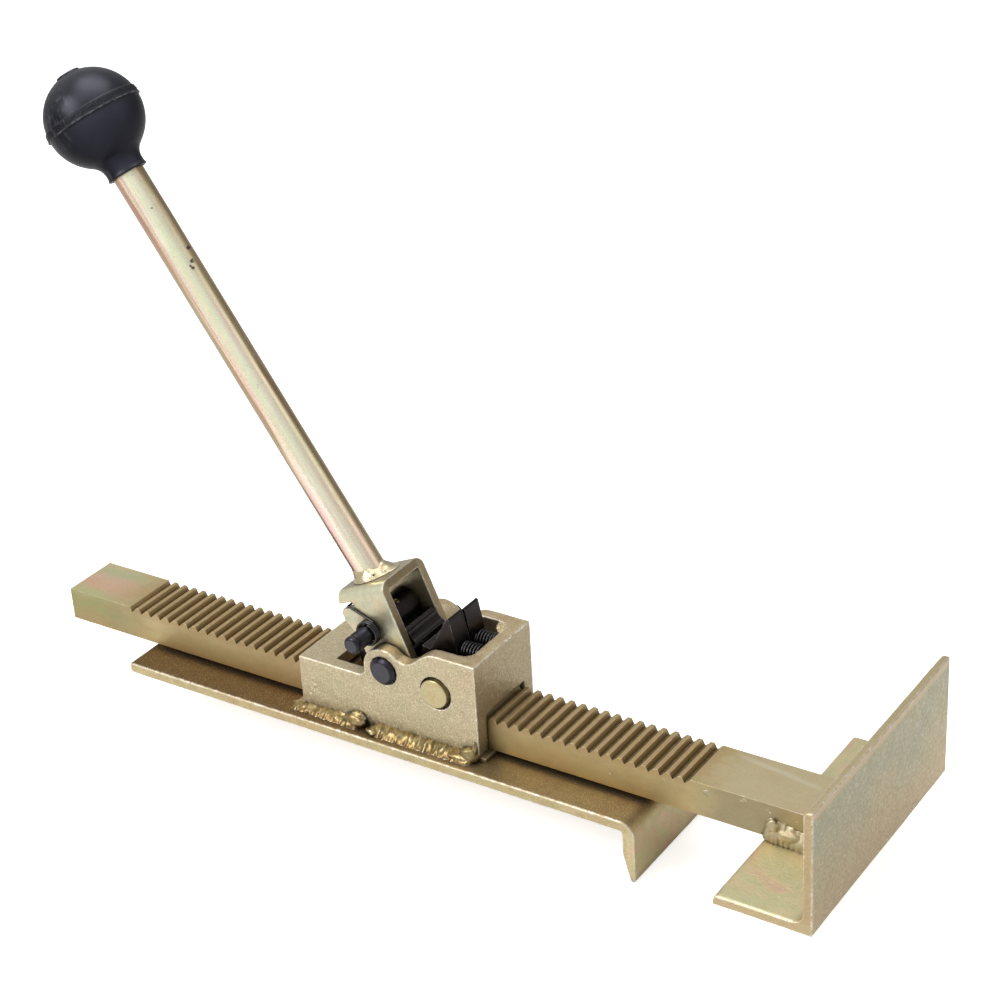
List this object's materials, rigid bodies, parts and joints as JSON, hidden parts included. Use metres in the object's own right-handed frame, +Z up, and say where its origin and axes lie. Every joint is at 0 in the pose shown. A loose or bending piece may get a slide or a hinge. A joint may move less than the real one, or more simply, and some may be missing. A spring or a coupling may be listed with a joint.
{
  "type": "lever rack puller",
  "caption": "Toothed bar ratcheted through a pawl housing on a lipped base plate by a ball-topped hand lever, with an angle foot welded across the bar's end.",
  "frame": {"origin": "under the lever pivot, on the underside of the base plate, at the middle of its width", "axes": "+X along the bar towards the foot, +Y away from the long end of the drive pin, +Z up"},
  "size_m": [0.4618, 0.1412, 0.3402],
  "materials": {
    "plated_steel": "yellow zinc plate, satin",
    "plated_dark": "yellow zinc plate, dull",
    "plated_cast": "yellow zinc plate over a blasted surface",
    "weld": "plated weld bead, rippled",
    "black_oxide": "black oxide, oiled",
    "zinc": "clear zinc plate",
    "spring_steel": "drawn spring wire",
    "knob": "moulded, satin black"
  },
  "bodies": {
    "base": {"base_plate": "plated_steel", "wear_plate": "plated_dark", "housing": "plated_cast", "base_weld_front": "weld", "base_weld_back": "weld", "pivot_pin": "black_oxide", "pivot_clip": "black_oxide", "hold_pin": "zinc", "hold_pin_clip": "black_oxide", "hold_spacers": "zinc", "hold_spring_front": "spring_steel", "hold_spring_back": "spring_steel"},
    "rack": {"rack_bar": "plated_steel", "foot_angle": "plated_steel", "foot_welds": "weld"},
    "lever": {"lever_bracket": "plated_steel", "handle_rod": "plated_steel", "handle_weld": "weld", "ball_knob": "knob", "knob_insert": "zinc", "torsion_spring": "spring_steel"},
    "drive": {"drive_pawl": "black_oxide", "drive_pin": "black_oxide", "roll_pin": "zinc"},
    "hold_front": {"hold_pawl_front": "black_oxide"},
    "hold_back": {"hold_pawl_back": "black_oxide"}
  },
  "joints": [
    {"name": "rack_slide", "type": "slide", "parent": "base", "child": "rack", "axis": [1, 0, 0], "range_m": [-0.0508, 0.127]},
    {"name": "lever_swing", "type": "hinge", "parent": "base", "child": "lever", "pos_m": [0, 0, 0.0407], "axis": [0, 1, 0], "range_deg": [-12, 12]},
    {"name": "drive_pawl_hinge", "type": "hinge", "parent": "lever", "child": "drive", "pos_m": [-0.0105, 0, 0.0568], "axis": [0, 1, 0], "range_deg": [-24.1, 24.1]},
    {"name": "hold_front_hinge", "type": "hinge", "parent": "base", "child": "hold_front", "pos_m": [0.0295, 0, 0.0365], "axis": [0, 1, 0], "range_deg": [-8.2, 6], "deforming": ["hold_spring_front"]},
    {"name": "hold_back_hinge", "type": "hinge", "parent": "base", "child": "hold_back", "pos_m": [0.0295, 0, 0.0365], "axis": [0, 1, 0], "range_deg": [-8.2, 6], "deforming": ["hold_spring_back"]}
  ],
  "couplings": [
    {"joint": "drive_pawl_hinge", "follows": "lever_swing", "ratio": -2}
  ]
}
